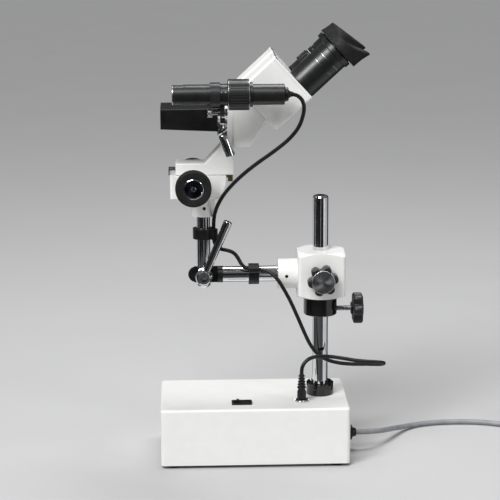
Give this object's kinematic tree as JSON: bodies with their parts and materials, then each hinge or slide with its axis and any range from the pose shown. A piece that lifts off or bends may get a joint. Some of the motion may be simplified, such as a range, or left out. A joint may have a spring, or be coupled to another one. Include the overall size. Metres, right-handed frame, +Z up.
{
  "type": "stereo microscope",
  "caption": "Stereo microscope with inclined eyepieces, focus rack, tilting arm, boom on a post, clip-on lamp and a box base with power supply.",
  "frame": {"origin": "middle of the footprint, leads left out, on the surface the feet stand on", "axes": "+Z up, +X from the objectives' side to the eyepieces' side, -Y is the front with the lamp and the clamp knob"},
  "size_m": [0.5455, 0.2343, 0.5203],
  "materials": {
    "white_coat": "fine textured powder coat",
    "black_coat": "satin",
    "chrome": "polished",
    "steel": "turned",
    "black_plastic": "moulded",
    "rubber": "matt",
    "brass": "turned",
    "grey_cord": "smooth sheath",
    "black_cord": "smooth sheath",
    "iron": "laminated",
    "winding": "taped",
    "bulb_glass": "clear"
  },
  "bodies": {
    "base": {"base_housing": "white_coat", "bottom_plate": "steel", "rubber_foot_front_left": "rubber", "rubber_foot_front_right": "rubber", "rubber_foot_back_left": "rubber", "rubber_foot_back_right": "rubber", "post": "chrome", "post_bolt": "steel", "post_flange": "black_plastic", "transformer_core": "iron", "transformer_coil": "winding", "switch_frame": "black_plastic", "lamp_socket": "chrome", "lamp_plug": "black_plastic", "mains_gland": "black_plastic", "mains_cord": "grey_cord", "mains_cord_coil": "grey_cord", "mains_cord_tail": "grey_cord", "mains_plug": "grey_cord", "lamp_cord": "black_cord"},
    "switch_rocker": {"rocker": "black_plastic"},
    "collar": {"stop_collar": "black_coat"},
    "collar_screw": {"collar_knob": "black_plastic"},
    "boom": {"boom_block": "white_coat", "boom_arm": "chrome", "elbow_piece": "black_coat", "elbow_bolt": "steel", "boom_clip": "black_plastic"},
    "block_screw": {"block_knob": "black_plastic"},
    "elbow_lever": {"lever_hub": "chrome", "lever_handle": "chrome"},
    "tilt_arm": {"tilt_rod": "chrome", "rod_clip": "black_plastic", "focus_housing": "white_coat", "focus_rail_near": "steel", "focus_rail_far": "steel"},
    "focus_drive": {"pinion_shaft": "steel", "focus_knob_near": "black_plastic", "focus_knob_far": "black_plastic"},
    "head": {"carriage": "white_coat", "focus_rack": "brass", "head_body": "white_coat", "objective_hood": "black_coat", "objective_near": "black_coat", "objective_far": "black_coat"},
    "prism_near": {"prism_housing_near": "white_coat", "face_plate_near": "white_coat", "eyepiece_near": "black_coat", "eyecup_near": "rubber"},
    "prism_far": {"prism_housing_far": "white_coat", "face_plate_far": "white_coat", "eyepiece_far": "black_coat", "eyecup_far": "rubber"},
    "diopter": {"diopter_ring": "black_coat"},
    "lamp_arm": {"lamp_bracket": "chrome"},
    "lamp_head": {"lamp_clamp": "black_coat", "lamp_tube": "black_coat", "lamp_bulb": "bulb_glass"},
    "lamp_ring": {"lamp_focus_ring": "black_coat"},
    "lamp_screw": {"lamp_thumbscrew": "steel"}
  },
  "joints": [
    {"name": "collar_slide", "type": "slide", "parent": "base", "child": "collar", "axis": [0, 0, 1], "range_m": [-0.045, 0.06], "deforming": ["lamp_cord"]},
    {"name": "collar_knob_turn", "type": "hinge", "parent": "collar", "child": "collar_screw", "pos_m": [0.10873, 0.0148, 0.1784], "axis": [1, 0, 0], "continuous": true},
    {"name": "boom_swing", "type": "hinge", "parent": "collar", "child": "boom", "pos_m": [0.06923, 0.0148, 0.2221], "axis": [0, 0, 1], "range_deg": [-90, 90]},
    {"name": "block_knob_turn", "type": "hinge", "parent": "boom", "child": "block_screw", "pos_m": [0.06923, -0.0252, 0.2221], "axis": [0, 1, 0], "continuous": true},
    {"name": "elbow_tilt", "type": "hinge", "parent": "boom", "child": "tilt_arm", "pos_m": [-0.07027, 0.0148, 0.2221], "axis": [0, -1, 0], "range_deg": [-10, 90]},
    {"name": "lever_turn", "type": "hinge", "parent": "boom", "child": "elbow_lever", "pos_m": [-0.07027, 0.0148, 0.2221], "axis": [0, 1, 0], "range_deg": [0, 25]},
    {"name": "focus_slide", "type": "slide", "parent": "tilt_arm", "child": "head", "axis": [1, 0, 0], "range_m": [-0.025, 0.012]},
    {"name": "focus_knob_turn", "type": "hinge", "parent": "tilt_arm", "child": "focus_drive", "pos_m": [-0.08167, 0.0148, 0.334], "axis": [0, 1, 0], "range_deg": [-300, 145]},
    {"name": "ipd_near", "type": "hinge", "parent": "head", "child": "prism_near", "pos_m": [-0.01512, -0.0072, 0.43404], "axis": [0.7373, 0, 0.6756], "range_deg": [-15, 7.6]},
    {"name": "ipd_far", "type": "hinge", "parent": "head", "child": "prism_far", "pos_m": [-0.01512, 0.0368, 0.43404], "axis": [0.7373, 0, 0.6756], "range_deg": [-7.6, 15]},
    {"name": "diopter_turn", "type": "hinge", "parent": "prism_far", "child": "diopter", "pos_m": [0.05921, 0.0458, 0.46689], "axis": [0.7373, 0, 0.6756], "range_deg": [-90, 90]},
    {"name": "lamp_swing", "type": "hinge", "parent": "head", "child": "lamp_arm", "pos_m": [-0.03987, -0.0152, 0.375], "axis": [0, 1, 0], "range_deg": [-15, 15]},
    {"name": "lamp_tilt", "type": "hinge", "parent": "lamp_arm", "child": "lamp_head", "pos_m": [-0.05347, -0.0582, 0.426], "axis": [1, 0, 0], "range_deg": [0, 35]},
    {"name": "lamp_focus", "type": "hinge", "parent": "lamp_head", "child": "lamp_ring", "pos_m": [-0.02927, -0.0612, 0.4472], "axis": [1, 0, 0], "range_deg": [-60, 60]},
    {"name": "thumbscrew_turn", "type": "hinge", "parent": "lamp_arm", "child": "lamp_screw", "pos_m": [-0.05347, -0.0582, 0.426], "axis": [1, 0, 0], "continuous": true},
    {"name": "rocker_tilt", "type": "hinge", "parent": "base", "child": "switch_rocker", "pos_m": [-0.02677, -0.0232, 0.071], "axis": [0, -1, 0], "range_deg": [0, 24]}
  ],
  "couplings": [
    {"joint": "focus_knob_turn", "follows": "focus_slide", "rad_per_m": 208.33},
    {"joint": "ipd_far", "follows": "ipd_near", "ratio": -1}
  ]
}
